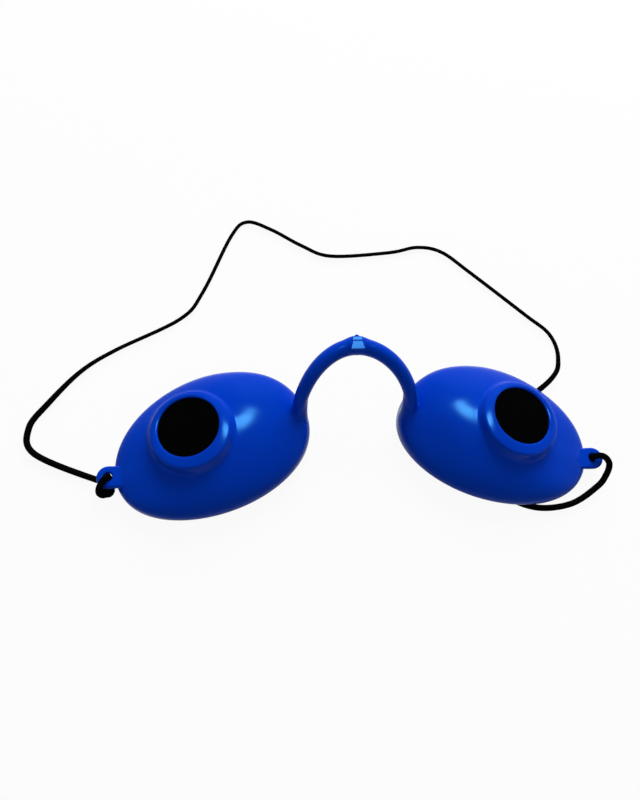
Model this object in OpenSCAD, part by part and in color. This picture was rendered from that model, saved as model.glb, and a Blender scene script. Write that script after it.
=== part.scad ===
// Eye guards for ultraviolet light: two blue moulded eye cups on a bent nose bridge,
// a dark filter lens in the raised turret of each cup, and a black elastic cord whose
// knotted ends are held by the ears of the cups. Millimetres, +Z up, standing on the rims.
// The face side is down, +Y points to the forehead and +X to the right-hand cup.

/* [Cups] */
// Distance from the nose plane to the middle of a cup's rim
cup_offset = 34.05; // [33:0.05:37]
// Half the length of a cup's rim
rim_half_length = 23.7; // [22.5:0.05:25.5]
// Half the width of a cup's rim
rim_half_width = 16.8; // [15:0.1:19]
// Turn of the rim in plan, which drops its outer end towards the cheek
rim_slant = 21.2; // [15:0.1:25]
// Height of the dome at its crest, under the turret
dome_height = 11; // [10.8:0.1:12]
// Radius of the roof's arc from the nose to the crest
dome_arc = 48; // [44:1:70]
// Fall of the dome for each millimetre from the crest to the ear
dome_fall = 0.28; // [0.22:0.01:0.3]
// Thickness of the moulded wall
wall = 1.3; // [0.8:0.1:1.8]
// Lift of the rim at the brow and at the cheek, which leaves room for the cord
rim_lift = 2; // [1.7:0.1:3]

/* [Lens turrets] */
// Height of the turret's face above the rim plane, at the lens axis
turret_height = 11; // [10.5:0.1:13]
// Diameter of the turret at its shoulder
turret_diameter = 19.5; // [19.2:0.1:21]
// Draft of the turret's wall, which lets it leave the mould
draft = 18; // [8:1:22]
// Rounding of the turret's shoulder
shoulder = 1.5; // [0.6:0.1:1.9]
// Diameter of the opening in front of the lens
opening_diameter = 14.5; // [12:0.1:15]
// Depth of the opening, from the turret's face to the lens
opening_depth = 0.6; // [0.4:0.1:1.2]
// Tilt of the lens axis away from the nose
tilt_out = 11.5; // [5:0.5:14]
// Tilt of the lens axis towards the forehead
tilt_up = 2.2; // [0:0.1:5]

/* [Lenses] */
// Diameter of the dark lens disc
lens_diameter = 16; // [15.6:0.1:16.8]
// Thickness of the lens disc
lens_thickness = 1.6; // [1:0.1:2.2]

/* [Ears] */
// Diameter of an ear's rounded end
ear_diameter = 5.3; // [5:0.1:6.5]
// Thickness of an ear
ear_thickness = 1.5; // [1.2:0.1:2]
// Distance from the end of the rim to the hole of an ear, away from the nose
ear_reach = 1.95; // [1.7:0.05:2.6]
// Clearance of the cord in the hole of an ear
hole_clearance = 0.4; // [0.2:0.1:0.8]

/* [Nose bridge] */
// Height of the middle of the bridge at its crown
bridge_height = 16.9; // [15:0.1:19]
// Distance from the crown of the bridge to its feet, along the face
bridge_reach = 11.6; // [10:0.1:13.5]
// Diameter of the bridge at its crown
bridge_diameter = 4.1; // [3.4:0.1:5]
// Diameter of the bridge at its feet
leg_diameter = 3.1; // [2.8:0.1:4]
// Height of the swelling on the crown
crown_swell = 0.5; // [0.3:0.1:1.2]

/* [Cord] */
// Diameter of the elastic cord
cord_diameter = 1.5; // [1.2:0.1:1.6]

/* [Hidden] */

// Shares of the cup's form that set its character and keep it when a size changes
rim_egg = 0.03;            // the outer end of the rim is this much slimmer
rim_bend = 1;              // the rim's ends bend this far towards the cheek
rim_shift = -1.2;          // the middle of the rim lies this far below the lens line
pole = [-13.75, 4.1];      // where the dome's rings close, from the middle of the rim
crest = -1.45;             // the dome's crest, from the middle of the rim towards the ear
crest_round = 4;           // width over which the roof turns from level into its fall
brow_rise = 0.05;          // the dome rises towards the forehead
full_ends = 4;             // the ends of the dome are this much fuller than its sides
turns = 60;                // points around the cup
dome_rings = 13;           // rings from the rim to the pole
hollow_rings = 9;          // rings of the hollow, which needs fewer

rim_middle = [cup_offset, rim_shift];
pole_at = rim_middle + pole;

// The rim is an ellipse with a slim outer end, bent and turned in plan
function rim_point(s, grow) =
    let (u = (rim_half_length + grow) * cos(s),
         v = (rim_half_width + grow) * sin(s) * (1 - rim_egg * cos(s)) - rim_bend * pow(cos(s), 2))
    rim_middle + [cos(rim_slant) * u + sin(rim_slant) * v, cos(rim_slant) * v - sin(rim_slant) * u];

// The rim rests at the nose and at the ear, and is lifted between them
function lift_at(s) = max(0, rim_lift * (1.1 * (1 - pow(cos(s), 4)) - 0.1));

// The roof over the cup rises in an arc to the crest and falls behind it to the ear
function roof(p) =
    let (x = p[0] - rim_middle[0] - crest,
         drop = x < 0 ? x * x / (2 * dome_arc) : dome_fall * (sqrt(x * x + crest_round * crest_round) - crest_round))
    dome_height - drop + brow_rise * (p[1] - pole_at[1]);

// A point of the dome, which comes down from the roof to the rim: k is 1 on the rim and 0 at the pole
function dome_point(s, k, grow) =
    let (p = pole_at * (1 - k) + rim_point(s, grow) * k,
         fullness = 2 + full_ends * pow(cos(s), 4))
    [p[0], p[1], (roof(p) + grow) * pow(max(0, 1 - k * k), 1 / fullness) + lift_at(s) * pow(k, 4)];

function dome_ring(k, grow) = [for (i = [0 : turns - 1]) dome_point(360 * i / turns, k, grow)];

// Skins a stack of rings of equal count, and closes its ends with a fan about each end point
module skin(rings, first, last) {
    n = len(rings[0]);
    m = len(rings);
    sides = [for (i = [0 : m - 2]) for (j = [0 : n - 1])
        let (a = i * n + j, b = i * n + (j + 1) % n)
        each [[a, a + n, b], [b, a + n, b + n]]];
    below = [for (j = [0 : n - 1]) [j, (j + 1) % n, m * n]];
    above = [for (j = [0 : n - 1]) [(m - 1) * n + (j + 1) % n, (m - 1) * n + j, m * n + 1]];
    polyhedron(points = concat([for (r = rings) each r], [first, last]), faces = concat(sides, below, above));
}

// The outer form of a cup, solid down to its rim
module dome(grow = 0) {
    levels = [for (i = [dome_rings : -1 : 1]) sin(90 * i / dome_rings)];
    skin([for (k = levels) dome_ring(k, grow)],
         [rim_middle[0], rim_middle[1], 0],
         dome_point(0, 0, grow));
}

// The hollow over the eye, a wall thinner all round and open below the rim
module hollow() {
    levels = [for (i = [hollow_rings : -1 : 1]) sin(90 * i / hollow_rings)];
    mouth = [for (p = dome_ring(1, -wall)) p - [0, 0, wall + rim_lift]];
    skin(concat([mouth], [for (k = levels) dome_ring(k, -wall)]),
         [rim_middle[0], rim_middle[1], -wall - rim_lift],
         dome_point(0, 0, -wall));
}

// The lens axis stands nearer to the ear and to the forehead than the middle of the rim
lens_out = 4.95;
lens_rise = 1.65;
lens_at = rim_middle + [lens_out, lens_rise];
turret_length = 7.5;
ample = 20;

module at_lens() {
    translate([lens_at[0], lens_at[1], turret_height]) rotate([-tilt_up, tilt_out, 0]) children();
}

// The turret is turned about the lens axis: a cone with a rounded shoulder
module turret() {
    corner = turret_diameter / 2 - shoulder;
    edge = [corner + shoulder * cos(draft), shoulder * (sin(draft) - 1)];
    foot = edge[0] + (turret_length + edge[1]) * tan(draft);
    rotate_extrude($fn = 96) {
        polygon([[0, -turret_length], [foot, -turret_length], edge, [corner, -shoulder], [corner, 0], [0, 0]]);
        translate([corner, -shoulder]) intersection() {
            circle(shoulder, $fn = 48);
            square(shoulder);
        }
    }
}

// The opening in front, and behind its lip the seat that the lens is pressed into from inside
module lens_bores() {
    translate([0, 0, -ample]) cylinder(d = opening_diameter, h = ample + 1, $fn = 96);
    translate([0, 0, -ample]) cylinder(d = lens_diameter, h = ample - opening_depth, $fn = 96);
}

// The ear stands out from the outer end of the dome, over the room for the knot
ear_rise = 2.2;            // the ear sits this far above the end of the rim, towards the forehead
ear_at = rim_point(0, 0) + [ear_reach, ear_rise];
knot_height = 2;
knot_diameter = 2 * cord_diameter;
knot_gap = 0.1;            // room between a knot and the ear over it
ear_bottom = knot_height + knot_gap;
ear_root = 5;              // length of the ear's root, which runs into the dome

module ear() {
    translate([ear_at[0], ear_at[1], ear_bottom]) {
        cylinder(d = ear_diameter, h = ear_thickness, $fn = 64);
        translate([-ear_root, -ear_diameter / 2, 0]) cube([ear_root, ear_diameter, ear_thickness]);
    }
}

module ear_hole() {
    translate([ear_at[0], ear_at[1], -1]) cylinder(d = cord_diameter + hole_clearance, h = ample, $fn = 48);
}

module cup() {
    difference() {
        union() {
            dome();
            at_lens() turret();
            ear();
        }
        hollow();
        at_lens() lens_bores();
        ear_hole();
    }
}

module lens() {
    at_lens() translate([0, 0, -opening_depth - lens_thickness])
        cylinder(d = lens_diameter, h = lens_thickness, $fn = 96);
}

// Sweeps: a ring of points about every point of a path, carried along it without twist
function unit(v) = v / norm(v);
function tangent(path, i) = unit(path[min(i + 1, len(path) - 1)] - path[max(i - 1, 0)]);
function across(v, t) = unit(v - (v * t) * t);
function carried(path, out, i = 1) =
    i == len(path) ? out : carried(path, concat(out, [across(out[i - 1], tangent(path, i))]), i + 1);
function swept(path, radii, start, sides) =
    let (normals = carried(path, [across(start, tangent(path, 0))]))
    [for (i = [0 : len(path) - 1])
        let (side = cross(tangent(path, i), normals[i]))
        [for (j = [0 : sides - 1])
            path[i] + radii[i] * (cos(360 * j / sides) * normals[i] + sin(360 * j / sides) * side)]];

module tube(path, radii, start, sides) {
    skin(swept(path, radii, start, sides), path[0], path[len(path) - 1]);
}

// The bridge is one bent rod: each half is a curve from the crown to a foot in the dome
foot_sink = 1.6;           // length of a leg below the dome's surface
foot_gap = 0.05;           // the feet stand this far off the domes, so that the bridge can bend
foot_angle = 182.9;          // the foot's place round the cup, where 180 is at the nose
foot_share = 0.73;         // and its share of the way from the pole to the rim
bridge_foot = dome_point(foot_angle, foot_share, 0);
bridge_crown = [0, bridge_foot[1] + bridge_reach, bridge_height];
crown_pull = 6.7;          // length over which the crown leaves sideways
foot_pull = [0.6, -4.6, -11.5];    // a leg runs into its foot along this way
leg_end = bridge_foot + foot_sink * foot_pull / norm(foot_pull);
bridge_steps = 20;
bridge_sides = 14;
swell_half_width = 3;
swell_lean = [0, 0.75, 0.65];   // the crown swells outwards and up
foot_flare = 0.6;

function curve(a, b, c, d, t) =
    pow(1 - t, 3) * a + 3 * pow(1 - t, 2) * t * b + 3 * (1 - t) * t * t * c + pow(t, 3) * d;
function bridge_point(t) =
    curve(bridge_crown, bridge_crown + [crown_pull, 0, 0], leg_end - foot_pull, leg_end, t);
function swell(x) = abs(x) < swell_half_width ? crown_swell * pow(cos(90 * x / swell_half_width), 2) : 0;
function bridge_radius(t) =
    (bridge_diameter * (1 - t) + leg_diameter * t) / 2 + foot_flare * pow(t, 8);

module nose_bridge_rod() {
    shares = [for (i = [-bridge_steps : bridge_steps]) i / bridge_steps];
    bare = [for (s = shares) let (p = bridge_point(abs(s))) [sign(s) * p[0], p[1], p[2]]];
    path = [for (p = bare) p + unit(swell_lean) * swell(p[0]) / 2];
    radii = [for (i = [0 : len(shares) - 1]) bridge_radius(abs(shares[i])) + swell(bare[i][0]) / 2];
    tube(path, radii, [0, 0, 1], bridge_sides);
}

module mirrored() {
    children();
    mirror([1, 0, 0]) children();
}

// The cord's route, lying on the table behind the cups and under the right-hand one
cord_radius = cord_diameter / 2;
on_table = cord_radius;
cord_route = [
    // From the left knot round the edge of the left ear and down through its hole
    [-58.1, -11.9, 1], [-59, -12.3, 1.9], [-59.5, -12.1, 3.3], [-59.2, -11.2, 4.7], [-58.2, -9.4, 4.9],
    [-57.75, -8.5, 3.6], [-58, -8.45, 1.2],
    // Out to the left and back along the table
    [-60.8, -8.3, on_table], [-75.3, -1.5, on_table], [-77.1, 4.9, on_table], [-73.3, 10.9, on_table],
    [-66.1, 19.3, on_table], [-57.9, 25, on_table], [-42.1, 33.4, on_table], [-36.3, 41.3, on_table],
    [-28.9, 58.1, on_table], [-24.5, 62.9, on_table], [-17.9, 60.4, on_table], [-9.8, 55.1, on_table],
    [-2, 51.7, on_table], [14, 52.6, on_table], [22, 54.2, on_table], [28.6, 52.6, on_table],
    [35.5, 46.2, on_table], [48.8, 32.8, on_table], [54.6, 26.6, on_table], [55.6, 19.5, on_table],
    // Under the lifted rim, across below the hollow and out at the cheek
    [52, 13.2, on_table], [36, 1.7, on_table], [32, -8, on_table], [35.5, -15.9, on_table],
    [42.5, -19.5, on_table], [51.3, -19, on_table], [58.6, -15.1, 1.1],
    // Up beside the right ear, over its edge and down through its hole to the right knot
    [60.9, -12.5, 2.3], [61.4, -10.4, 3.8], [60.3, -9, 4.8], [58.9, -8.5, 5.05], [57.75, -8.5, 4.1],
    [57.75, -8.5, knot_height + knot_gap]
];

// The cord runs smoothly through the points of its route, and never sinks into the table
cord_steps = 2;
function between(a, b, c, d, t) =
    (2 * b + (c - a) * t + (2 * a - 5 * b + 4 * c - d) * t * t + (3 * b - a - 3 * c + d) * pow(t, 3)) / 2;
function smooth(p, steps) =
    let (m = len(p) - 1)
    [for (i = [0 : m * steps])
        let (j = min(floor(i / steps), m - 1),
             before = j == 0 ? 2 * p[0] - p[1] : p[j - 1],
             after = j == m - 1 ? 2 * p[m] - p[m - 1] : p[j + 2],
             q = between(before, p[j], p[j + 1], after, i / steps - j))
        [q[0], q[1], max(q[2], on_table)]];

module left_cup() {
    color("mediumblue") mirror([1, 0, 0]) cup();
}

module right_cup() {
    color("mediumblue") cup();
}

module nose_bridge() {
    color("mediumblue") difference() {
        nose_bridge_rod();
        mirrored() dome(foot_gap);
    }
}

module left_lens() {
    color("black") mirror([1, 0, 0]) lens();
}

module right_lens() {
    color("black") lens();
}

module elastic_cord() {
    path = smooth(cord_route, cord_steps);
    color("black") tube(path, [for (p = path) cord_radius], [0, 0, 1], 8);
}

// A stop knot: two tight turns of the cord, pulled flat, just clear of the end of the rim
left_knot_at = [-ear_at[0] - 0.2, ear_at[1] - 2.65];
right_knot_at = [ear_at[0] + 0.45, ear_at[1]];

module knot() {
    turn = knot_height / 4;
    rotate_extrude($fn = 48) {
        square([knot_diameter / 2 - turn, knot_height]);
        for (level = [1, 3])
            translate([knot_diameter / 2 - turn, level * turn]) circle(turn, $fn = 32);
    }
}

module left_knot() {
    color("black") translate([left_knot_at[0], left_knot_at[1], 0]) knot();
}

module right_knot() {
    color("black") translate([right_knot_at[0], right_knot_at[1], 0]) knot();
}

left_cup();
right_cup();
nose_bridge();
left_lens();
right_lens();
elastic_cord();
left_knot();
right_knot();
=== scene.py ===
# %% [markdown]
# # Eye guards for ultraviolet light
# Two glossy blue eye cups hang on one bent nose bridge. A dark filter sits in a raised turret on
# each cup, and a thin black elastic joins the ears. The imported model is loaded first, because it
# fixes where each piece is. Every piece that is made here stands where its solid stands, and gets
# the roundings and finishes that the solid leaves out.

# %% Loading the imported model
import bisect
import math

import bmesh
import bpy
from mathutils import Matrix, Vector


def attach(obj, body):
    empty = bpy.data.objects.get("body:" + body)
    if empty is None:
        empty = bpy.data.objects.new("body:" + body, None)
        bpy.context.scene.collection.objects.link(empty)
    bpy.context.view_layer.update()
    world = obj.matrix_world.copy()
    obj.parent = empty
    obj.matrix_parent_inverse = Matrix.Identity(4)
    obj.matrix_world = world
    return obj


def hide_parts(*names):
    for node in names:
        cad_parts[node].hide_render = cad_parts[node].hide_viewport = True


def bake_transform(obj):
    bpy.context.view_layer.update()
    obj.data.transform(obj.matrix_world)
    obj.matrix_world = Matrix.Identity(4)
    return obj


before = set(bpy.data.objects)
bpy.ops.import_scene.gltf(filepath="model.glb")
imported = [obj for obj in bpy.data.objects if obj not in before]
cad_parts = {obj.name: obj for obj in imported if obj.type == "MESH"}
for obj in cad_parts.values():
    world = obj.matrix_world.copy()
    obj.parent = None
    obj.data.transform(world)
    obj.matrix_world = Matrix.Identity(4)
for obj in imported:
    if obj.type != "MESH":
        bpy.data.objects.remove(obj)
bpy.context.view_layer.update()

MM = 0.001

# %% [markdown]
# ## The camera
# The object lies on a table and is photographed from above and a little from the left. The camera
# was found by matching the rims, the lens openings and the bridge to the photograph, so its place
# and its two directions are plain numbers.

# %% Camera
EYE = Vector((-23.94, -53.51, 161.60)) * MM
GAZE = Vector((0.0937, 0.3648, -0.9264))
UPRIGHT = Vector((0.0305, 0.9290, 0.3689))
FOCAL_LENGTH, SENSOR_WIDTH = 31.5, 36    # in millimetres, as photographers give them
NEAREST = 0.005                          # nothing nearer to the camera than this is drawn

camera_data = bpy.data.cameras.new("camera")
camera_data.lens = FOCAL_LENGTH
camera_data.sensor_width = SENSOR_WIDTH
camera_data.clip_start = NEAREST
camera = bpy.data.objects.new("camera", camera_data)
bpy.context.scene.collection.objects.link(camera)
backward = -GAZE.normalized()
rightward = UPRIGHT.cross(backward).normalized()
axes = Matrix((rightward, backward.cross(rightward), backward)).transposed()
camera.matrix_world = Matrix.Translation(EYE) @ axes.to_4x4()
bpy.context.scene.camera = camera
print("camera stands", round(EYE.length / MM), "mm from the origin")

# %% [markdown]
# ## The elastic cord
# The real cord is a fine round braid over rubber, 1.5 mm thick. One end is knotted under the left
# ear, wraps its edge and drops through its hole. The cord then lies on the table in a loose curve
# behind the cups, passes under the right one, and drops through the right ear. A curve object
# would do, but a mesh tube can carry its own map, and the braid has to follow the cord. So rings
# of points are skinned along the same route as the solid's. The photograph shows the cord drawn
# thinner well behind the cups, so it gets thinner there.

# %% The cord's route, in metres
CORD_DIAMETER = 0.0015
ON_TABLE = CORD_DIAMETER / 2
ROUTE = [
    (-0.0581, -0.0119, 0.0010), (-0.0590, -0.0123, 0.0019), (-0.0595, -0.0121, 0.0033),
    (-0.0592, -0.0112, 0.0047), (-0.0582, -0.0094, 0.0049), (-0.05775, -0.0085, 0.0036),
    (-0.0580, -0.00845, 0.0012), (-0.0608, -0.0083, ON_TABLE), (-0.0753, -0.0015, ON_TABLE),
    (-0.0771, 0.0049, ON_TABLE), (-0.0733, 0.0109, ON_TABLE), (-0.0661, 0.0193, ON_TABLE),
    (-0.0579, 0.0250, ON_TABLE), (-0.0421, 0.0334, ON_TABLE), (-0.0363, 0.0413, ON_TABLE),
    (-0.0289, 0.0581, ON_TABLE), (-0.0245, 0.0629, ON_TABLE), (-0.0179, 0.0604, ON_TABLE),
    (-0.0098, 0.0551, ON_TABLE), (-0.0020, 0.0517, ON_TABLE), (0.0140, 0.0526, ON_TABLE),
    (0.0220, 0.0542, ON_TABLE), (0.0286, 0.0526, ON_TABLE), (0.0355, 0.0462, ON_TABLE),
    (0.0488, 0.0328, ON_TABLE), (0.0546, 0.0266, ON_TABLE), (0.0556, 0.0195, ON_TABLE),
    (0.0520, 0.0132, ON_TABLE), (0.0360, 0.0017, ON_TABLE), (0.0320, -0.0080, ON_TABLE),
    (0.0355, -0.0159, ON_TABLE), (0.0425, -0.0195, ON_TABLE), (0.0513, -0.0190, ON_TABLE),
    (0.0586, -0.0151, 0.0011), (0.0609, -0.0125, 0.0023), (0.0614, -0.0104, 0.0038),
    (0.0603, -0.0090, 0.0048), (0.0589, -0.0085, 0.00505), (0.05775, -0.0085, 0.0041),
    (0.05775, -0.0085, 0.0021),
]
print("route:", len(ROUTE), "points, and", round(max(y for x, y, z in ROUTE) / MM),
      "mm behind the line of the eyes at most")

# %% A smooth line along the route, and how thick the cord is on it
ROUTE_STEPS = 8                                      # steps of the line from one point to the next
THIN_FROM, THIN_OVER, THINNING = 0.006, 0.022, 0.36  # where it gets thinner, over how far, by what


def smooth_line(points, steps, lowest):
    """A smooth line through the points, with so many steps between one and the next."""
    line = [points[0] * 2 - points[1]] + points + [points[-1] * 2 - points[-2]]
    out = []
    for a, b, c, d in zip(line, line[1:], line[2:], line[3:]):
        bend, swing = a * 2 - b * 5 + c * 4 - d, b * 3 - a - c * 3 + d
        for step in range(steps):
            t = step / steps
            p = (b * 2 + (c - a) * t + bend * t * t + swing * t ** 3) / 2
            out.append(Vector((p.x, p.y, max(p.z, lowest))))
    return out + [points[-1]]


def thinned(y):
    """The cord's share of its full thickness at a distance behind the line of the eyes."""
    t = min(1.0, max(0.0, (y - THIN_FROM) / THIN_OVER))
    return 1 - THINNING * t * t * (3 - 2 * t)


def runs(path):
    """How far along the path each of its points lies."""
    run = [0.0]
    for a, b in zip(path, path[1:]):
        run.append(run[-1] + (b - a).length)
    return run


cord_path = smooth_line([Vector(p) for p in ROUTE], ROUTE_STEPS, ON_TABLE)
for point in cord_path:
    if point.z < ON_TABLE + 1e-6:
        point.z = ON_TABLE * thinned(point.y)
cord_length = runs(cord_path)[-1]
print("cord:", round(cord_length / MM, 1), "mm long,", len(cord_path), "points")

# %% A tube around a path, with a map that runs round and along it
CORD_SIDES = 16


def carried_frames(path):
    """For each point of the path, two directions across it that turn with it and never twist."""
    frames = []
    out = Vector((0, 0, 1))
    for i in range(len(path)):
        along = (path[min(i + 1, len(path) - 1)] - path[max(i - 1, 0)]).normalized()
        out = (out - along * out.dot(along)).normalized()
        frames.append((out, along.cross(out)))
    return frames


def ring_around(point, out, side, radius, sides):
    angles = [2 * math.pi * j / sides for j in range(sides)]
    return [point + (out * math.cos(a) + side * math.sin(a)) * radius for a in angles]


def tube(name, path, radii, sides):
    """A closed tube whose map counts turns round it and diameters along it."""
    verts, faces, corners = [], [], []
    for point, radius, (out, side) in zip(path, radii, carried_frames(path)):
        verts += ring_around(point, out, side, radius, sides)
    run = runs(path)
    thick = 2 * max(radii)
    for i in range(len(path) - 1):
        this, following = i * sides, (i + 1) * sides
        low, high = run[i] / thick, run[i + 1] / thick
        for j in range(sides):
            k = (j + 1) % sides
            faces.append((this + j, this + k, following + k, following + j))
            left, right = j / sides, (j + 1) / sides
            corners += [(left, low), (right, low), (right, high), (left, high)]
    last = (len(path) - 1) * sides
    faces += [tuple(range(sides))[::-1], tuple(range(last, last + sides))]
    corners += [(0.5, 0.0)] * sides + [(0.5, run[-1] / thick)] * sides
    mesh = bpy.data.meshes.new(name)
    mesh.from_pydata(verts, [], faces)
    layer = mesh.uv_layers.new(name="braid")
    for loop, corner in zip(layer.data, corners):
        loop.uv = corner
    mesh.shade_smooth()
    obj = bpy.data.objects.new(name, mesh)
    bpy.context.scene.collection.objects.link(obj)
    return obj


cord_radii = [CORD_DIAMETER / 2 * thinned(point.y) for point in cord_path]
cord = tube("elastic_cord_braided", cord_path, cord_radii, CORD_SIDES)
print("cord faces:", len(cord.data.polygons))

# %% [markdown]
# ## The knots
# Each end of the cord is tied off in a small tight knot that can't pass the hole of the ear. A
# real knot is a tangle that shows only as a dark lump, and its solid is two tight turns. Two turns
# of a slimmer, squeezed cord with one strand laid across them give the same lump with the
# roundness of the real thing.

# %% Knots
KNOT_RADIUS, KNOT_STRAND, KNOT_HEIGHT = 0.93 * MM, 0.55 * MM, 2.0 * MM
KNOT_STEPS, CROSSING_STEPS, KNOT_SIDES = 72, 12, 12
SQUEEZE = 0.04                         # the turns are this much out of round
CROSSING = 1.3                         # the strand runs past the middle, to this share of the way
HUMP, TUCK = 0.08 * MM, 0.5 * MM       # it rises by the one and dives by the other


def knot(name, middle, turn_from):
    """Two tight turns, one above the other, and a strand that crosses over them and tucks in."""
    line = []
    for i in range(KNOT_STEPS + 1):
        share = i / KNOT_STEPS
        angle = turn_from + share * 4 * math.pi
        squeeze = 1 + SQUEEZE * math.sin(3 * angle)
        x, y = math.cos(angle) * KNOT_RADIUS * squeeze, math.sin(angle) * KNOT_RADIUS * squeeze
        z = KNOT_STRAND + share * (KNOT_HEIGHT - 2 * KNOT_STRAND)
        line.append(middle + Vector((x, y, z)))
    top = line[-1]
    across = middle - top
    for i in range(1, CROSSING_STEPS + 1):
        share = i / CROSSING_STEPS
        rise = HUMP * math.sin(share * math.pi)
        drop = TUCK * share ** 3
        way = Vector((across.x, across.y, 0)) * share * CROSSING
        line.append(top + way + Vector((0, 0, rise - drop)))
    return tube(name, line, [KNOT_STRAND] * len(line), KNOT_SIDES)


left_knot = knot("left_knot_tied", Vector((-57.94, -11.15, 0)) * MM, 0.4)
right_knot = knot("right_knot_tied", Vector((58.19, -8.5, 0)) * MM, 2.6)
print("knots:", [len(k.data.polygons) for k in (left_knot, right_knot)], "faces")

# %% What the knots ride on, and the solids that cord and knots stand for
for piece, node, body in ((left_knot, "left_knot", "left_side"),
                          (right_knot, "right_knot", "right_side")):
    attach(piece, body)
    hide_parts(node)
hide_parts("elastic_cord")
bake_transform(cord)
print("declared: a limp cord of", round(cord_length, 4), "m, knotted at both ends")

# %% [markdown]
# ## The form of a cup
# A cup is a thin egg-shaped dome that stands on its rim. Its roof rises in an arc from the nose to
# a crest under the turret and falls behind it towards the ear, and it turns down steeply at both
# ends. The form is known as a height over each place of the table, so the same few formulas serve
# the outside, the hollow one wall below it, the feet of the bridge and the root of the ear. These
# numbers are those of the solid, in millimetres. Places on the rim are counted in turns, from 0 at
# the ear's end to half a circle at the nose.

# %% The cup's numbers, in millimetres
RIM_MIDDLE = Vector((34.05, -1.2))
HALF_LENGTH, HALF_WIDTH, SLANT = 23.7, 16.8, math.radians(21.2)
RIM_EGG, RIM_BEND = 0.03, 1.0
RIM_LIFT, RIM_FLAT = 2.0, 0.1      # the lift between nose and ear, and the share left flat at both
POLE = RIM_MIDDLE + Vector((-13.75, 4.1))
CREST_X, CREST_ROUND, CREST_HEIGHT = 32.6, 4.0, 11.0
ROOF_ARC, ROOF_FALL, BROW_RISE = 48.0, 0.28, 0.05
FULL_ENDS = 4
WALL = 1.3


def rim_point(turn, grow=0.0):
    """A point of the rim, or of one that lies so far outside it."""
    u = (HALF_LENGTH + grow) * math.cos(turn)
    egg, bend = 1 - RIM_EGG * math.cos(turn), RIM_BEND * math.cos(turn) ** 2
    v = (HALF_WIDTH + grow) * math.sin(turn) * egg - bend
    x = math.cos(SLANT) * u + math.sin(SLANT) * v
    y = math.cos(SLANT) * v - math.sin(SLANT) * u
    return RIM_MIDDLE + Vector((x, y))


def rim_lift(turn):
    return max(0.0, RIM_LIFT * ((1 + RIM_FLAT) * (1 - math.cos(turn) ** 4) - RIM_FLAT))


def roof(x, y):
    """Height of the roof over a place, before the dome turns down to its rim."""
    past = x - CREST_X
    if past < 0:
        drop = past * past / (2 * ROOF_ARC)
    else:
        drop = ROOF_FALL * (math.hypot(past, CREST_ROUND) - CREST_ROUND)
    return CREST_HEIGHT - drop + BROW_RISE * (y - POLE.y)


print("rim, mm from its middle at the ear's end and at the nose:",
      [round((rim_point(turn) - RIM_MIDDLE).length, 2) for turn in (0, math.pi)])

# %% Which place on the rim lies in a given direction
RIM_STEPS = 2880


class RimTable:
    """Finds the place on the rim that lies in a given direction from a given middle."""

    def __init__(self, middle, grow):
        self.turns = [2 * math.pi * i / RIM_STEPS for i in range(RIM_STEPS + 1)]
        self.points = [rim_point(turn, grow) for turn in self.turns]
        offsets = [p - middle for p in self.points]
        angle = math.atan2(offsets[0].y, offsets[0].x)
        self.angles = [angle]
        for a, b in zip(offsets, offsets[1:]):
            angle += math.atan2(a.x * b.y - a.y * b.x, a.dot(b))
            self.angles.append(angle)

    def look(self, angle):
        angle = self.angles[0] + (angle - self.angles[0]) % (2 * math.pi)
        i = min(max(bisect.bisect_right(self.angles, angle), 1), len(self.angles) - 1)
        share = (angle - self.angles[i - 1]) / (self.angles[i] - self.angles[i - 1])
        turn = self.turns[i - 1] + share * (self.turns[i] - self.turns[i - 1])
        return turn, self.points[i - 1].lerp(self.points[i], share)


FROM_POLE = {grow: RimTable(POLE, grow) for grow in (0.0, -WALL)}
print("tables of the rim and of the hollow's rim:", RIM_STEPS, "steps each")

# %% The height of the dome over a place


def rim_toward(offset, grow=0.0):
    """The rim's turn, and its distance from the pole, on the side to which an offset points."""
    turn, edge = FROM_POLE[grow].look(math.atan2(offset.y, offset.x))
    return turn, (edge - POLE).length


def fullness(turn):
    """The power with which the dome turns down: 2 is a plain arc, and more is fuller."""
    return 2 + FULL_ENDS * math.cos(turn) ** 4


def dome_height(x, y, grow=0.0):
    """Height of the dome, or of the hollow a wall below it, over a place inside its rim."""
    offset = Vector((x, y)) - POLE
    turn, longest = rim_toward(offset, grow)
    share = min(1.0, offset.length / longest)
    round_down = (1 - share * share) ** (1 / fullness(turn))
    return (roof(x, y) + grow) * round_down + rim_lift(turn) * share ** 4


print("dome, mm high at its crest, over the lens and by the ear:",
      [round(dome_height(x, -1), 2) for x in (30, 39, 54)])

# %% The lens axis, which leans away from the nose, and where it meets dome and hollow
LENS_AT = Vector((39.0, 0.45, 11.0))
LEAN = (Matrix.Rotation(math.radians(11.5), 3, "Y")
        @ Matrix.Rotation(math.radians(-2.2), 3, "X"))
OFF_AXIS = (0.35, 0.55)      # the turret stands this far off the lens, to nose and cheek
DOME_GUESS, FOOT_GUESS = -2.5, -3.0      # first guesses at how far the dome lies below the ring
SETTLING = 12                # rounds in which a point on a leaning line settles on the dome


def lens_point(radius, angle, height, shift=0.0):
    """A point round the lens axis; shift moves it by a share of the turret's way off that axis."""
    x = radius * math.cos(angle) - OFF_AXIS[0] * shift
    y = radius * math.sin(angle) - OFF_AXIS[1] * shift
    return LENS_AT + LEAN @ Vector((x, y, height))


def lens_drop(radius, angle, grow=0.0, shift=0.0):
    """Height of the dome along the lens axis, which is below 0, the level of the ring."""
    height = DOME_GUESS
    for _ in range(SETTLING):
        p = lens_point(radius, angle, height, shift)
        height += dome_height(p.x, p.y, grow) - p.z
    return height


about_foot = 10.2
print("turret stands over the dome, mm, at the nose and at the brow:",
      [round(-lens_drop(about_foot, angle), 2) for angle in (math.pi, math.pi / 2)])

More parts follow.
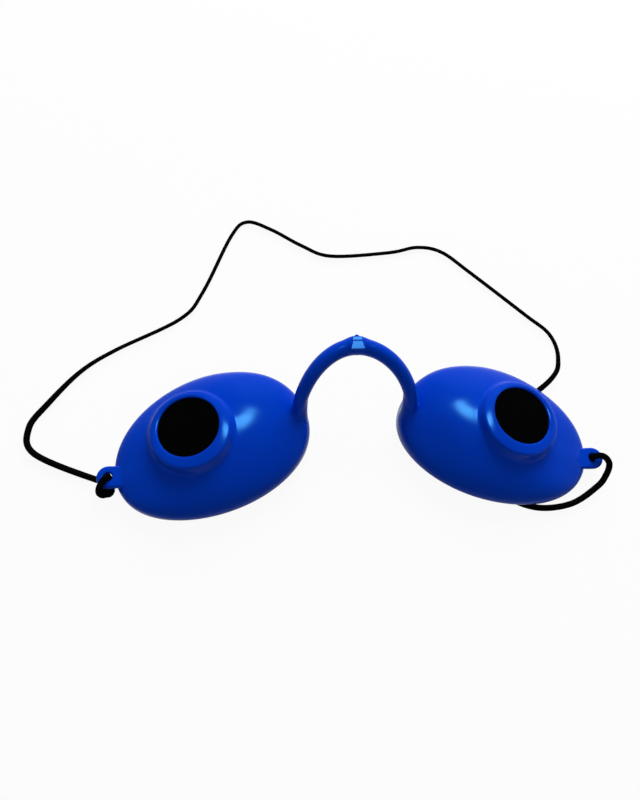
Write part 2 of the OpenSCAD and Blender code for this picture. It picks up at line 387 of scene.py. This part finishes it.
# %% [markdown]
# ## Modelling a cup
# On the real cup everything is one moulding: rounded rim, dome, turret with its ring, lip, seat
# and hollow. It could be carved from blocks, but cuts leave hard edges where the plastic flows. So
# it is drawn out as a single closed skin. A circle with one point for every spoke round the lens
# is extruded ring after ring: up the rim, in over the dome, round the fillet at the turret's foot,
# up its wall, in over the ring's face, down through the lip and the seat, and out under the
# hollow, back to the rim. Each ring is laid in its measured place as it is extruded.

# %% Extruding a circle, ring by ring


def only(obj):
    """Operators act on all that is selected, so this object alone is selected for the next."""
    bpy.ops.object.select_all(action="DESELECT")
    obj.select_set(True)
    bpy.context.view_layer.objects.active = obj


def drawn_out(name, rings, ring_closes):
    """A circle, extruded once for every further ring of points, which are in millimetres."""
    bpy.ops.object.select_all(action="DESELECT")
    bpy.ops.mesh.primitive_circle_add(vertices=len(rings[0]), radius=0.01)
    obj = bpy.context.object
    obj.name = name
    obj.data.name = name
    place = obj.data.attributes.new("place", "INT", "POINT")
    place.data.foreach_set("value", list(range(len(rings[0]))))
    bpy.ops.object.mode_set(mode="EDIT")
    bpy.ops.mesh.select_mode(type="VERT")
    for number, ring in enumerate(rings + rings[:1] * ring_closes):
        if number:
            bpy.ops.mesh.extrude_region_move()
        edit = bmesh.from_edit_mesh(obj.data)
        spoke = edit.verts.layers.int["place"]
        for vert in edit.verts:
            if vert.select:
                vert.co = Vector(ring[vert[spoke]]) * MM
    bmesh.update_edit_mesh(obj.data)
    bpy.ops.mesh.select_all(action="SELECT")
    if ring_closes:
        bpy.ops.mesh.remove_doubles(threshold=1e-7)
    else:
        bpy.ops.mesh.fill_holes(sides=0)
    bpy.ops.mesh.normals_make_consistent(inside=False)
    bpy.ops.object.mode_set(mode="OBJECT")
    obj.data.attributes.remove(obj.data.attributes["place"])
    return obj


# %% Spokes: even steps along the skin, from the rim to the turret and to the lens seat
SPOKES = 160
FINE_STEPS = 240
EDGE = 0.45           # rounding of the rim's edge
STEEP_SHARE = 1e-4    # this near the rim the wall is upright, and its height is shared out evenly
FROM_LENS = {grow: RimTable(LENS_AT.xy, grow) for grow in (0.0, -WALL)}


def spoke_over(angle, inner, grow, count):
    """Points at even distances along the skin, from over the rim's rounding to the inner point."""
    turn, edge = FROM_LENS[grow].look(angle)
    shares = [(i / FINE_STEPS) ** fullness(turn) for i in range(FINE_STEPS + 1)]
    plan = [edge.lerp(inner.xy, share) for share in shares]
    fine = [Vector((p.x, p.y, dome_height(p.x, p.y, grow))) for p in plan]
    fine[-1] = inner
    base = rim_lift(turn)
    steep = next(i for i, share in enumerate(shares) if share > STEEP_SHARE)
    for i in range(steep):
        fine[i].z = base + (fine[steep].z - base) * i / steep
    run = runs(fine)
    out = []
    for i in range(count):
        want = EDGE + (run[-1] - EDGE) * i / count
        k = max(1, bisect.bisect_right(run, want))
        out.append(fine[k - 1].lerp(fine[k], (want - run[k - 1]) / (run[k] - run[k - 1])))
    return turn, edge, out


print("from the lens axis to the rim, mm, at the ear and at the nose:",
      [round((FROM_LENS[0.0].look(a)[1] - LENS_AT.xy).length, 1) for a in (0, math.pi)])

# %% [markdown]
# ### The ring round the lens
# The turret ends in a ring whose face isn't flat. It slopes outwards, most of all towards the
# nose, and there it catches a long highlight. On the ear's side its inner edge slopes in to the
# lens. Blocks and bevels would need one shape for each side. Here the ring has a profile of arcs
# that changes a little from spoke to spoke, given as radius and height over the lens.

# %% The lip and the face of the ring
OPENING, SEAT, LENS_DEPTH = 7.25, 8.03, 0.6    # radii of the opening and the seat; the lens's depth
LIP, INNER_ROUND, INNER_TIP = 0.13, 1.6, 26    # two roundings of the inner edge, and its most tilt
FACE_TO, EDGE_ROUND = 9.07, 1.2                # the face's outer radius, and its inner rounding
FACE_TILTS, NOSE_TILT = (3, 13), 14            # its slope in and out, and more towards the nose
CORNER_ROUND, DRAFT = 0.6, 18                  # the outer corner's rounding, and the wall's lean
TO_EAR, TO_NOSE = 1, -1


def quarter(center, radius, start, end, count):
    """Points of an arc in a profile, whose coordinates are radius and height."""
    angles = [math.radians(start + (end - start) * i / count) for i in range(count + 1)]
    return [(center[0] + radius * math.cos(a), center[1] + radius * math.sin(a)) for a in angles]


def share_to(way, angle):
    """How much a spoke points to the ear or to the nose: 1 there, and 0 on the other side."""
    return (0.5 + 0.5 * way * math.cos(angle)) ** 1.5


def lip(angle):
    """In over the ring's inner edge, which slopes on the ear's side, and down to the lens."""
    tip = INNER_TIP * share_to(TO_EAR, angle)
    across, down = math.sin(math.radians(tip)), math.cos(math.radians(tip))
    top = OPENING + LIP + (INNER_ROUND - LIP) * across
    small = (OPENING + LIP, (INNER_ROUND - LIP) * down - INNER_ROUND)
    wide = quarter((top, -INNER_ROUND), INNER_ROUND, 90, 90 + tip, 4)
    return wide[:-1] + quarter(small, LIP, 90 + tip, 180, 5)


def shoulder(angle, face_from):
    """Over the outer corner, and in along the sloping face."""
    inner, outer = [tilt + NOSE_TILT * share_to(TO_NOSE, angle) for tilt in FACE_TILTS]
    sin_in, cos_in = math.sin(math.radians(inner)), math.cos(math.radians(inner))
    sin_out, cos_out = math.sin(math.radians(outer)), math.cos(math.radians(outer))
    bow = (FACE_TO - face_from - EDGE_ROUND * sin_in) / (sin_out - sin_in)
    middle = (face_from + (EDGE_ROUND - bow) * sin_in, (EDGE_ROUND - bow) * cos_in - EDGE_ROUND)
    end = middle[1] + bow * cos_out
    center = (FACE_TO - CORNER_ROUND * sin_out, end - CORNER_ROUND * cos_out)
    corner = quarter(center, CORNER_ROUND, DRAFT, 90 - outer, 8)
    face = quarter(middle, bow, 90 - outer, 90 - inner, 7)
    last = quarter((face_from, -EDGE_ROUND), EDGE_ROUND, 90 - inner, 90, 3)
    return corner[:-1] + face[:-1] + last


print("the ring's inner edge starts, mm from the lens axis, at the nose and at the ear:",
      [round(lip(angle)[0][0], 2) for angle in (math.pi, 0)])

# %% The profile of the turret, from the fillet at its foot to the seat of the lens
FACE_GAP = 0.04                                     # between the lip and the start of the face
FILLET_LEAST, FILLET_MORE, FILLET_RISE = 0.5, 1.7, 0.9
FILLET_SIDE = math.radians(40)                      # the fillet is widest on this side
FILLET_STEPS, WALL_STEPS = 8, 3
OVER_LENS, SEAT_STEP = 0.01, 0.4                    # room over the lens, and the seat's step


def turret_profile(angle):
    """Radius, height and shift of each point; the fillet is wide to ear and brow."""
    over_lip = lip(angle)
    face_from = over_lip[0][0] + FACE_GAP
    over_shoulder = shoulder(angle, face_from)
    edge, level = over_shoulder[0]
    slope = math.tan(math.radians(DRAFT))
    meet = FOOT_GUESS
    for _ in range(SETTLING):
        meet = lens_drop(edge + (level - meet) * slope, angle, 0.0, 1.0)
    foot = edge + (level - meet) * slope
    wide = FILLET_LEAST + FILLET_MORE * max(0.0, math.cos(angle - FILLET_SIDE)) ** 2
    rise = min(wide, FILLET_RISE * (level - meet))
    top = (foot - rise * slope, meet + rise)
    outer = (foot + wide, lens_drop(foot + wide, angle, 0.0, 1.0))
    points = []
    for i in range(FILLET_STEPS + 1):
        t = i / FILLET_STEPS
        first, second, third = (1 - t) ** 2, 2 * t * (1 - t), t * t
        radius, height = [first * o + second * m + third * e
                          for o, m, e in zip(outer, (foot, meet), top)]
        points.append((radius, height, 1.0))
    for i in range(1, WALL_STEPS):
        points.append((top[0] + (edge - top[0]) * i / WALL_STEPS,
                       top[1] + (level - top[1]) * i / WALL_STEPS, 1.0))
    for radius, height in over_shoulder:
        shift = min(1.0, (radius - face_from) / (FACE_TO - face_from))
        points.append((radius, height, shift))
    inner = over_lip + [(OPENING, -LENS_DEPTH + OVER_LENS), (SEAT, -LENS_DEPTH + OVER_LENS),
                        (SEAT, -LENS_DEPTH - SEAT_STEP), (SEAT, lens_drop(SEAT, angle, -WALL))]
    return points + [(radius, height, 0.0) for radius, height in inner]


print("turret's foot, mm from the lens axis, at the nose and at the ear:",
      [round(turret_profile(a)[0][0], 2) for a in (math.pi, 0)])

# %% All the rings of the right-hand cup
OUTER_STEPS, INNER_STEPS, EDGE_STEPS = 44, 24, 5


def rim_round(edge, inward, base, steps):
    """Points of a quarter round at the rim: step 0 lies above its edge, and the last under it."""
    out = []
    for i in steps:
        a = math.radians(90 * i / EDGE_STEPS)
        p = edge + inward * (EDGE - EDGE * math.cos(a))
        out.append(Vector((p.x, p.y, base + EDGE - EDGE * math.sin(a))))
    return out


def cup_spoke(number):
    angle = 2 * math.pi * number / SPOKES
    turned = [lens_point(radius, angle, height, shift)
              for radius, height, shift in turret_profile(angle)]
    turn, edge, over = spoke_over(angle, turned[0], 0.0, OUTER_STEPS)
    turn_in, edge_in, under = spoke_over(angle, turned[-1], -WALL, INNER_STEPS)
    inward = (edge_in - edge).normalized()
    rounding = rim_round(edge_in, -inward, rim_lift(turn_in), range(EDGE_STEPS))
    rounding += rim_round(edge, inward, rim_lift(turn), range(EDGE_STEPS, 0, -1))
    return over + turned + under[:0:-1] + rounding


spokes = [cup_spoke(number) for number in range(SPOKES)]
cup = drawn_out("right_cup_moulded", [list(ring) for ring in zip(*spokes)], True)
print("cup:", len(spokes[0]), "rings of", SPOKES, "points,", len(cup.data.polygons), "faces")

# %% [markdown]
# ## The ear
# The cord is tied to a small flat ear at the outer end of the cup: a rounded tab with a hole,
# moulded on. Its edges are soft. It is drawn out in the same way, as a ring round its hole, and
# the side that faces the cup runs on until it is just under the dome's skin, so that nothing shows
# inside. A union then makes cup and ear one body.

# %% Ear
EAR_AT = Vector((57.74, -8.5))
EAR_RADIUS, EAR_HOLE, EAR_BOTTOM, EAR_TOP = 2.65, 0.95, 2.1, 3.6
EAR_SOFT = 0.65                      # rounding of its outer edges
HOLE_SOFT = EAR_SOFT * 0.7           # and of the hole's
EAR_FLAT = 1.6                       # a point on its flat top
EAR_ROOT, ROOT_SHARE = 2, 0.3        # points outside this radius run on into the cup, and run
                                     # all the way where a spoke points to it at least so much
EAR_SPOKES = 64
LONGEST_ROOT, UNDER_SKIN = 8, 0.5    # the skin is sought within the one, and passed by the other
EAR_PROFILE = (
    quarter((EAR_RADIUS - EAR_SOFT, EAR_BOTTOM + EAR_SOFT), EAR_SOFT, -90, 0, 5)
    + quarter((EAR_RADIUS - EAR_SOFT, EAR_TOP - EAR_SOFT), EAR_SOFT, 0, 90, 5)
    + [(EAR_FLAT, EAR_TOP)]
    + quarter((EAR_HOLE + HOLE_SOFT, EAR_TOP - HOLE_SOFT), HOLE_SOFT, 90, 180, 4)
    + quarter((EAR_HOLE + HOLE_SOFT, EAR_BOTTOM + HOLE_SOFT), HOLE_SOFT, 180, 270, 4))


def reach_into_cup(y, z):
    """A place just under the dome's skin at a given height, found by halving."""
    low, high = EAR_AT.x - LONGEST_ROOT, EAR_AT.x
    for _ in range(30):
        middle = (low + high) / 2
        offset = Vector((middle, y)) - POLE
        if offset.length < rim_toward(offset)[1] and dome_height(middle, y) > z:
            low = middle
        else:
            high = middle
    return low - UNDER_SKIN


def ear_spoke(number):
    angle = 2 * math.pi * number / EAR_SPOKES
    out = Vector((math.cos(angle), math.sin(angle)))
    points = []
    for radius, height in EAR_PROFILE:
        p = EAR_AT + out * radius
        if out.x < -1e-6 and radius > EAR_ROOT:
            share = min(1.0, -out.x / ROOT_SHARE)
            p.x += (reach_into_cup(p.y, height) - p.x) * share
        points.append(Vector((p.x, p.y, height)))
    return points


ear_spokes = [ear_spoke(number) for number in range(EAR_SPOKES)]
ear = drawn_out("ear_moulded", [list(ring) for ring in zip(*ear_spokes)], True)
print("ear reaches in to x =", round(min(p.x for spoke in ear_spokes for p in spoke), 2))

# %% Union of cup and ear
SHARP_OVER = math.radians(32)        # faces that meet at more than this keep a sharp edge


def united(obj, *pieces):
    """The pieces become part of the object, and are gone as objects of their own."""
    for piece in pieces:
        union = obj.modifiers.new(piece.name, "BOOLEAN")
        union.operation = "UNION"
        union.solver = "EXACT"
        union.object = piece
        only(obj)
        bpy.ops.object.modifier_apply(modifier=union.name)
        bpy.data.objects.remove(piece, do_unlink=True)
    only(obj)
    bpy.ops.object.shade_smooth_by_angle(angle=SHARP_OVER)


united(cup, ear)
print("cup with its ear:", len(cup.data.polygons), "faces")

# %% The left-hand cup is the mirror of the right-hand one
only(cup)
bpy.ops.object.duplicate(linked=False)
left_cup = bpy.context.object
left_cup.name = "left_cup_moulded"
left_cup.data.name = "left_cup_moulded"
bpy.ops.object.mode_set(mode="EDIT")
bpy.ops.mesh.select_all(action="SELECT")
bpy.ops.transform.resize(value=(-1, 1, 1), center_override=(0, 0, 0))
bpy.ops.mesh.normals_make_consistent(inside=False)
bpy.ops.object.mode_set(mode="OBJECT")
only(left_cup)
bpy.ops.object.shade_smooth_by_angle(angle=SHARP_OVER)
for piece, node, body in ((cup, "right_cup", "right_side"), (left_cup, "left_cup", "left_side")):
    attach(piece, body)
    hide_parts(node)
print("cups:", [tuple(round(d / MM, 1) for d in c.dimensions) for c in (cup, left_cup)], "mm")

# %% [markdown]
# ## The nose bridge
# The bridge is a bent rod that grows out of both domes, a little thicker at its crown. It is drawn
# out from foot to foot along one smooth curve. At a foot the rod doesn't just stick in the dome:
# each of its lines is followed to the place where it meets the skin, and turned outwards there
# over a small fillet, as moulded plastic does. Towards the middle of the face the fillet widens
# into a thin web.

# %% The bridge's curve, in millimetres
FOOT_TURN, FOOT_SHARE, FOOT_SINK = math.radians(182.9), 0.73, 1.6
REACH, BRIDGE_HEIGHT = 11.6, 16.9
foot_plan = POLE.lerp(rim_point(FOOT_TURN), FOOT_SHARE)
FOOT = Vector((foot_plan.x, foot_plan.y, dome_height(foot_plan.x, foot_plan.y)))
CROWN = Vector((0, FOOT.y + REACH, BRIDGE_HEIGHT))
CROWN_PULL, FOOT_PULL = Vector((6.7, 0, 0)), Vector((0.6, -4.6, -11.5))
LEG_END = FOOT + FOOT_PULL.normalized() * FOOT_SINK
CROWN_RADIUS, LEG_RADIUS = 2.05, 1.55
SWELL, SWELL_OVER, SWELL_WAY = 0.5, 3, Vector((0, 0.75, 0.65)).normalized()
SIDES = 32
LEG_STEPS = 160
SUNK_STEPS, SUNK_STEP = 30, 0.1      # the rod runs on below the skin by so many short steps


def bezier(a, b, c, d, t):
    return a * (1 - t) ** 3 + b * 3 * (1 - t) ** 2 * t + c * 3 * (1 - t) * t * t + d * t ** 3


def swelling(x):
    """How much thicker the rod is near its crown."""
    return SWELL * math.cos(math.pi / 2 * x / SWELL_OVER) ** 2 if abs(x) < SWELL_OVER else 0.0


def rod_lines():
    """The middle line of the rod's right-hand half, from the crown to below the dome's skin, and
    a ring round each of its points."""
    pulls = (CROWN, CROWN + CROWN_PULL, LEG_END - FOOT_PULL, LEG_END)
    bare = [bezier(*pulls, i / LEG_STEPS) for i in range(LEG_STEPS + 1)]
    bare += [LEG_END + FOOT_PULL.normalized() * SUNK_STEP * i for i in range(1, SUNK_STEPS + 1)]
    lifted = [p + SWELL_WAY * swelling(p.x) / 2 for p in bare]
    mirrored = [Vector((-p.x, p.y, p.z)) for p in lifted[2:0:-1]]
    frames = carried_frames(mirrored + lifted)[2:]
    rings = []
    for i, (point, (out, side)) in enumerate(zip(lifted, frames)):
        taper = (LEG_RADIUS - CROWN_RADIUS) * min(1, i / LEG_STEPS)
        radius = CROWN_RADIUS + taper + swelling(bare[i].x) / 2
        rings.append(ring_around(point, out, side, radius, SIDES))
    return lifted, rings


middle_line, rod = rod_lines()
print("bridge: foot at", [round(c, 1) for c in FOOT], "crown at", [round(c, 1) for c in CROWN])

# %% Where each line of the rod meets the dome, and the way outwards there
FOOT_FILLET, FOOT_WEB, WEB_RISE = 0.8, 2.0, 5.6    # the fillet; the web's width and its height
INSIDE_RIM = 0.995                                 # share of the way to the rim that it keeps to
LOWEST_WEB = 1.0
NEAR_FOOT = 150                                    # a step at which the rod's steps are measured


def line_point(j, at):
    """The point of line j of the rod at a step, with its fraction."""
    i = min(int(at), len(rod) - 2)
    return rod[i][j].lerp(rod[i + 1][j], at - i)


def under_skin(p):
    offset = p.xy - POLE
    inside = offset.length < INSIDE_RIM * rim_toward(offset)[1]
    return inside and p.z < dome_height(p.x, p.y)


def meeting(j):
    """The step, with its fraction, at which line j of the rod passes through the dome."""
    first = next((i for i in range(1, len(rod)) if under_skin(rod[i][j])), len(rod) - 1)
    low, high = first - 1.0, float(first)
    for _ in range(20):
        middle = (low + high) / 2
        low, high = (low, middle) if under_skin(line_point(j, middle)) else (middle, high)
    return high


meets = [meeting(j) for j in range(SIDES)]
step_length = (middle_line[NEAR_FOOT] - middle_line[NEAR_FOOT - 1]).length
away = []
for j in range(SIDES):
    hit = line_point(j, meets[j])
    center = middle_line[min(int(meets[j]), len(middle_line) - 1)]
    away.append((hit, Vector((hit.x - center.x, hit.y - center.y, 0)).normalized()))
webs = [max(0.0, -out.x) ** 2 for hit, out in away]
backs = [(FOOT_FILLET + WEB_RISE * web) / step_length for web in webs]
shared = int(min(at - back for at, back in zip(meets, backs)) - 2)
print("rod meets the dome between steps", round(min(meets), 1), "and", round(max(meets), 1),
      "of", len(rod) - 1)

# %% The rod from foot to foot
RING_EVERY = 4                                     # of the curve's steps, one in four gets a ring
FOOT_DEPTHS, FOOT_MARGIN = (0.02, 0.25, 0.9), 0.15   # how far the last rings lie under the skin


def on_skin(p, below):
    """The point so far below the dome's skin over or under p, kept inside the rim."""
    plan = p.xy
    offset = plan - POLE
    longest = INSIDE_RIM * rim_toward(offset)[1]
    if offset.length > longest:
        plan = POLE + offset * (longest / offset.length)
    height = min(dome_height(plan.x, plan.y), max(p.z, LOWEST_WEB))
    return Vector((plan.x, plan.y, height - below))


def foot_edge(j, depth, margin=0.0):
    """The end of line j's fillet or web, or a point by so much further out."""
    hit, out = away[j]
    return on_skin(hit + out * (FOOT_FILLET + FOOT_WEB * webs[j] + margin), depth)


half = [rod[i] for i in list(range(0, shared, RING_EVERY)) + [shared]]
for share in (0.25, 0.5, 0.75, 1.0):
    half.append([line_point(j, shared + (meets[j] - backs[j] - shared) * share)
                 for j in range(SIDES)])
for i in range(1, FILLET_STEPS + 1):
    t = i / FILLET_STEPS
    ring = []
    for j in range(SIDES):
        start, end = line_point(j, meets[j] - backs[j]), foot_edge(j, FOOT_DEPTHS[0])
        corner = away[j][0].lerp((start + end) / 2, 0.5 * webs[j])
        ring.append(start * (1 - t) ** 2 + corner * 2 * t * (1 - t) + end * t * t)
    half.append(ring)
half.append([foot_edge(j, FOOT_DEPTHS[1], FOOT_MARGIN) for j in range(SIDES)])
half.append([on_skin(hit, FOOT_DEPTHS[2]) for hit, out in away])
left_half = [[Vector((-p.x, p.y, p.z)) for p in ring] for ring in half[:0:-1]]
bridge = drawn_out("nose_bridge_moulded", left_half + half, False)
print("bridge:", len(left_half + half), "rings,", len(bridge.data.polygons), "faces")

# %% [markdown]
# ### The pad on the crown
# Where the mould was filled, the crown carries a small raised pad: a trapezoid that tips towards
# the cheeks, a narrow step behind it, and the stub of the sprue. Sculpting it into the rod would
# need very fine rings. Each is a block instead, tapered and bevelled, let into the rod by a union.
# Their few large faces are flat and stay so, while the rod round them is smooth.

# %% Crown pad, step and stub
PAD_TIP, STEP_TIP = 7.2, 6.0
FLAT_OVER = 0.55 * MM * MM           # faces with a larger area than this are flat


def block(name, size, at, taper, soft, tip=0.0):
    """A box in millimetres, its far side drawn in, its edges bevelled, tipped to the cheeks."""
    bpy.ops.object.select_all(action="DESELECT")
    bpy.ops.mesh.primitive_cube_add(size=1)
    obj = bpy.context.object
    obj.name = name
    bpy.ops.object.mode_set(mode="EDIT")
    bpy.ops.mesh.select_all(action="SELECT")
    bpy.ops.transform.resize(value=[c * MM for c in size], center_override=(0, 0, 0))
    bpy.ops.mesh.select_all(action="DESELECT")
    edit = bmesh.from_edit_mesh(obj.data)
    for vert in edit.verts:
        vert.select_set(vert.co.y > 0)
    edit.select_flush_mode()
    bpy.ops.transform.resize(value=(taper, 1, 1), center_override=(0, 0, 0))
    bpy.ops.mesh.select_all(action="SELECT")
    bpy.ops.mesh.bevel(offset=soft * MM, segments=3, affect="EDGES")
    bpy.ops.mesh.select_all(action="SELECT")
    bpy.ops.transform.rotate(value=-math.radians(tip), orient_axis="X", center_override=(0, 0, 0))
    bpy.ops.transform.translate(value=[c * MM for c in at])
    bpy.ops.object.mode_set(mode="OBJECT")
    return obj


pad = block("crown_pad", (3.5, 2.1, 2.0), (0, CROWN.y - 0.55, 18.29), 0.66, 0.16, PAD_TIP)
step = block("crown_step", (2.3, 0.8, 2.0), (0, CROWN.y + 0.98, 18.45), 0.9, 0.08, STEP_TIP)
stub = block("crown_stub", (1.0, 0.9, 1.0), (0, CROWN.y + 1.75, 18.35), 0.85, 0.25)
print("tops of pad, step and stub, mm:", [
    round(max(v.co.z for v in piece.data.vertices) / MM, 2) for piece in (pad, step, stub)])
united(bridge, pad, step, stub)
flat_faces = [face for face in bridge.data.polygons if face.area > FLAT_OVER]
for face in flat_faces:
    face.use_smooth = False
print("flat faces of pad, step and stub:", len(flat_faces))
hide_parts("nose_bridge")
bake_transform(bridge)
print("bridge with its pad:", len(bridge.data.polygons), "faces")

# %% [markdown]
# ## Finishes
# Three materials cover the object. The blue is a bright, fully dyed plastic with a polished
# mould's gloss: its highlights stay blue, and it has only the faint waviness and fine speckle of a
# moulding. The filters are nearly black and polished. The cord is a matt black braid. Shader maths
# is written as plain expressions, so a small class wraps a socket and turns + - * into Math nodes.

# %% Sockets as numbers


class Maths:
    """A socket of a material that can be added to, multiplied and so on in plain expressions."""

    def __init__(self, tree, socket=None):
        self.tree, self.socket = tree, socket

    def math(self, operation, *values):
        inputs = dict(enumerate((self,) + values))
        return self.node("ShaderNodeMath", {"operation": operation}, inputs)

    def node(self, kind, settings, inputs, output=0):
        """Adds any node: its settings first, then the values or links of its sockets."""
        new = self.tree.nodes.new(kind)
        for name, value in settings.items():
            setattr(new, name, value)
        for name, value in inputs.items():
            if isinstance(value, Maths):
                self.tree.links.new(value.socket, new.inputs[name])
            else:
                new.inputs[name].default_value = value
        return Maths(self.tree, new.outputs[output])

    def __add__(self, other): return self.math("ADD", other)
    def __radd__(self, other): return self.math("ADD", other)
    def __sub__(self, other): return self.math("SUBTRACT", other)
    def __rsub__(self, other):
        return self.node("ShaderNodeMath", {"operation": "SUBTRACT"}, {0: other, 1: self})

    def __mul__(self, other): return self.math("MULTIPLY", other)
    def __rmul__(self, other): return self.math("MULTIPLY", other)


# %% Helpers for the materials


def new_material(name, settings):
    """A material with plain values on its shader's own sockets, and a start for its maths."""
    material = bpy.data.materials.new(name)
    material.use_nodes = True
    shader = material.node_tree.nodes["Principled BSDF"]
    for socket, value in settings.items():
        shader.inputs[socket].default_value = value
    return material, shader, Maths(material.node_tree)


def feed(node, socket, value):
    value.tree.links.new(value.socket, node.inputs[socket])


def noise(start, scale, detail):
    """Noise from 0 to 1 on the piece's own coordinates; a scale of 1000 has grains of 1 mm."""
    place = start.node("ShaderNodeTexCoord", {}, {}, "Object")
    inputs = {"Vector": place, "Scale": scale, "Detail": detail}
    return start.node("ShaderNodeTexNoise", {}, inputs, "Fac")


def between(start, share, first, second):
    """A colour that goes from the first to the second as the share goes from 0 to 1."""
    inputs = {"Factor": share, "A": first + (1,), "B": second + (1,)}
    return start.node("ShaderNodeMix", {"data_type": "RGBA"}, inputs, 2)


def bumped(start, height, strength, distance):
    inputs = {"Height": height, "Strength": strength, "Distance": distance}
    return start.node("ShaderNodeBump", {}, inputs)


def dress(obj, material):
    obj.data.materials.clear()
    obj.data.materials.append(material)


# %% Blue plastic
blue, shader, start = new_material("blue_moulded_plastic", {
    "IOR": 1.2, "Specular IOR Level": 0.5, "Specular Tint": (0.1, 0.55, 1.0, 1),
    "Sheen Weight": 0.12, "Sheen Roughness": 0.4, "Sheen Tint": (0.0, 0.55, 0.6, 1)})
cloud, speckle = noise(start, 60.0, 2.0), noise(start, 2600.0, 3.0)
waves = noise(start, 140.0, 1.0)
feed(shader, "Base Color", between(start, cloud, (0.0, 0.042, 0.58), (0.0, 0.052, 0.66)))
feed(shader, "Roughness", 0.13 + 0.05 * cloud + 0.04 * speckle)
feed(shader, "Normal", bumped(start, waves + speckle * 0.05, 0.06, 0.0004))
for piece in (cup, left_cup, bridge):
    dress(piece, blue)
print("blue:", len(start.tree.nodes), "nodes")

# %% Dark filter lenses: the solids themselves, which have the right shape
dark, shader, start = new_material("dark_filter", {"IOR": 1.45, "Specular IOR Level": 0.01})
haze, scratch = noise(start, 90.0, 3.0), noise(start, 1800.0, 2.0)
smoke = between(start, haze, (0.0002, 0.0002, 0.0003), (0.0006, 0.0006, 0.0008))
feed(shader, "Base Color", smoke)
feed(shader, "Roughness", 0.16 + 0.06 * haze + 0.04 * scratch)
for name in ("left_lens", "right_lens"):
    dress(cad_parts[name], dark)
print("dark filter:", len(start.tree.nodes), "nodes")

# %% Black braided elastic: two sets of strands that cross, on the cord's own map
STRANDS, PITCH = 8, 1.9              # strands round the cord, and turns of each in a diameter

black, shader, start = new_material("black_braided_elastic", {
    "IOR": 1.3, "Specular IOR Level": 0.005})
braid = start.node("ShaderNodeUVMap", {"uv_map": "braid"}, {})
around, along = [start.node("ShaderNodeSeparateXYZ", {}, {0: braid}, axis) for axis in "XY"]
one = (around * (2 * math.pi * STRANDS) + along * (2 * math.pi * PITCH)).math("SINE")
other = (around * (2 * math.pi * STRANDS) - along * (2 * math.pi * PITCH)).math("SINE")
weave = one.math("MAXIMUM", other) * 0.5 + 0.5
# Lighter on the strands' crowns and darker in the gaps between them: the strand pattern is the
# braid's own, and the darker gaps are painted shade of its recesses.
strands = between(start, weave, (0.0006, 0.0006, 0.0007), (0.0032, 0.0032, 0.0034))
feed(shader, "Base Color", strands)
feed(shader, "Roughness", 0.75 - 0.2 * weave)
feed(shader, "Normal", bumped(start, weave, 0.5, 0.00006))
for piece in (cord, left_knot, right_knot):
    dress(piece, black)
print("black braid:", len(start.tree.nodes), "nodes")

# %% [markdown]
# ## Floor and light
# The photograph is a cut-out on white. Both domes carry one highlight beside the turret, and the
# rings another, and one direction explains all four: a soft box nearly overhead, a little towards
# the forehead. It is there for these highlights alone. The plain light comes from a wide screen on
# the forehead side, without a reflection of its own, because the shading is stronger than a lamp
# overhead would make it. The floor is white and keeps a faint shadow. To the camera it lets most
# of the white behind it through, so that anything below the table's surface is still seen.

# %% Floor
FLOOR_SIZE, FLOOR_DROP = 6, 0.0003   # it lies so far under the rims that the two never touch
FLOOR_CLEAR = 0.93                   # the share of the white behind it that the camera sees


def seen_rays(start):
    """1 for a ray from the camera, or from a reflection or a clear surface, and 0 for others."""
    kinds = ("Is Camera Ray", "Is Glossy Ray", "Is Transmission Ray")
    direct, glossy, through = [start.node("ShaderNodeLightPath", {}, {}, kind) for kind in kinds]
    return direct + glossy + through


bpy.ops.object.select_all(action="DESELECT")
bpy.ops.mesh.primitive_plane_add(size=FLOOR_SIZE, location=(0, 0, -FLOOR_DROP))
floor = bpy.context.object
floor.name = "floor"
bpy.ops.object.transform_apply(location=True, rotation=True, scale=True)
white, shader, start = new_material("white_floor", {"Roughness": 0.9, "Specular IOR Level": 0.0})
seen = seen_rays(start)
feed(shader, "Base Color", between(start, seen, (0.2, 0.2, 0.2), (0.97, 0.97, 0.97)))
solid = Maths(start.tree, shader.outputs[0])
clear = start.node("ShaderNodeBsdfTransparent", {}, {})
mixed = start.node("ShaderNodeMixShader", {}, {0: seen * FLOOR_CLEAR, 1: solid, 2: clear})
feed(start.tree.nodes["Material Output"], "Surface", mixed)
dress(floor, white)
print("floor:", round(floor.dimensions.x), "m wide")

# %% World: white where the camera or a reflection looks, dim plain light elsewhere
AMBIENT = 0.27       # strength of the white that lights the object from all round

world = bpy.data.worlds.new("world")
bpy.context.scene.world = world
world.use_nodes = True
background = world.node_tree.nodes["Background"]
background.inputs["Color"].default_value = (1, 1, 1, 1)
seen = seen_rays(Maths(world.node_tree)).math("MINIMUM", 1.0)
feed(background, "Strength", seen * (1 - AMBIENT) + AMBIENT)
print("world: plain light at", AMBIENT)

# %% Two lamps: the soft box, which only shows in reflections, and the screen, which only shades
def disk_lamp(name, direction, distance, half_angle, radiance):
    """A round lamp that faces the origin and is as wide as a half angle seen from there."""
    direction = Vector(direction).normalized()
    data = bpy.data.lights.new(name, "AREA")
    data.shape = "DISK"
    data.size = 2 * distance * math.tan(math.radians(half_angle))
    data.energy = radiance * math.pi * math.pi * (data.size / 2) ** 2
    lamp = bpy.data.objects.new(name, data)
    bpy.context.scene.collection.objects.link(lamp)
    lamp.location = direction * distance
    lamp.rotation_euler = direction.to_track_quat("Z", "Y").to_euler()
    lamp.visible_camera = False
    print(name, round(data.energy, 2), "W at", [round(c, 2) for c in lamp.location])
    return lamp


soft_box = disk_lamp("soft_box", (0.13, 0.31, 0.95), 0.6, 6.5, 92.0)
soft_box.visible_diffuse = False
screen = disk_lamp("screen", (0.24, 0.82, 0.52), 0.7, 20, 7.5)
screen.visible_glossy = False
bpy.context.scene.view_settings.view_transform = "Standard"
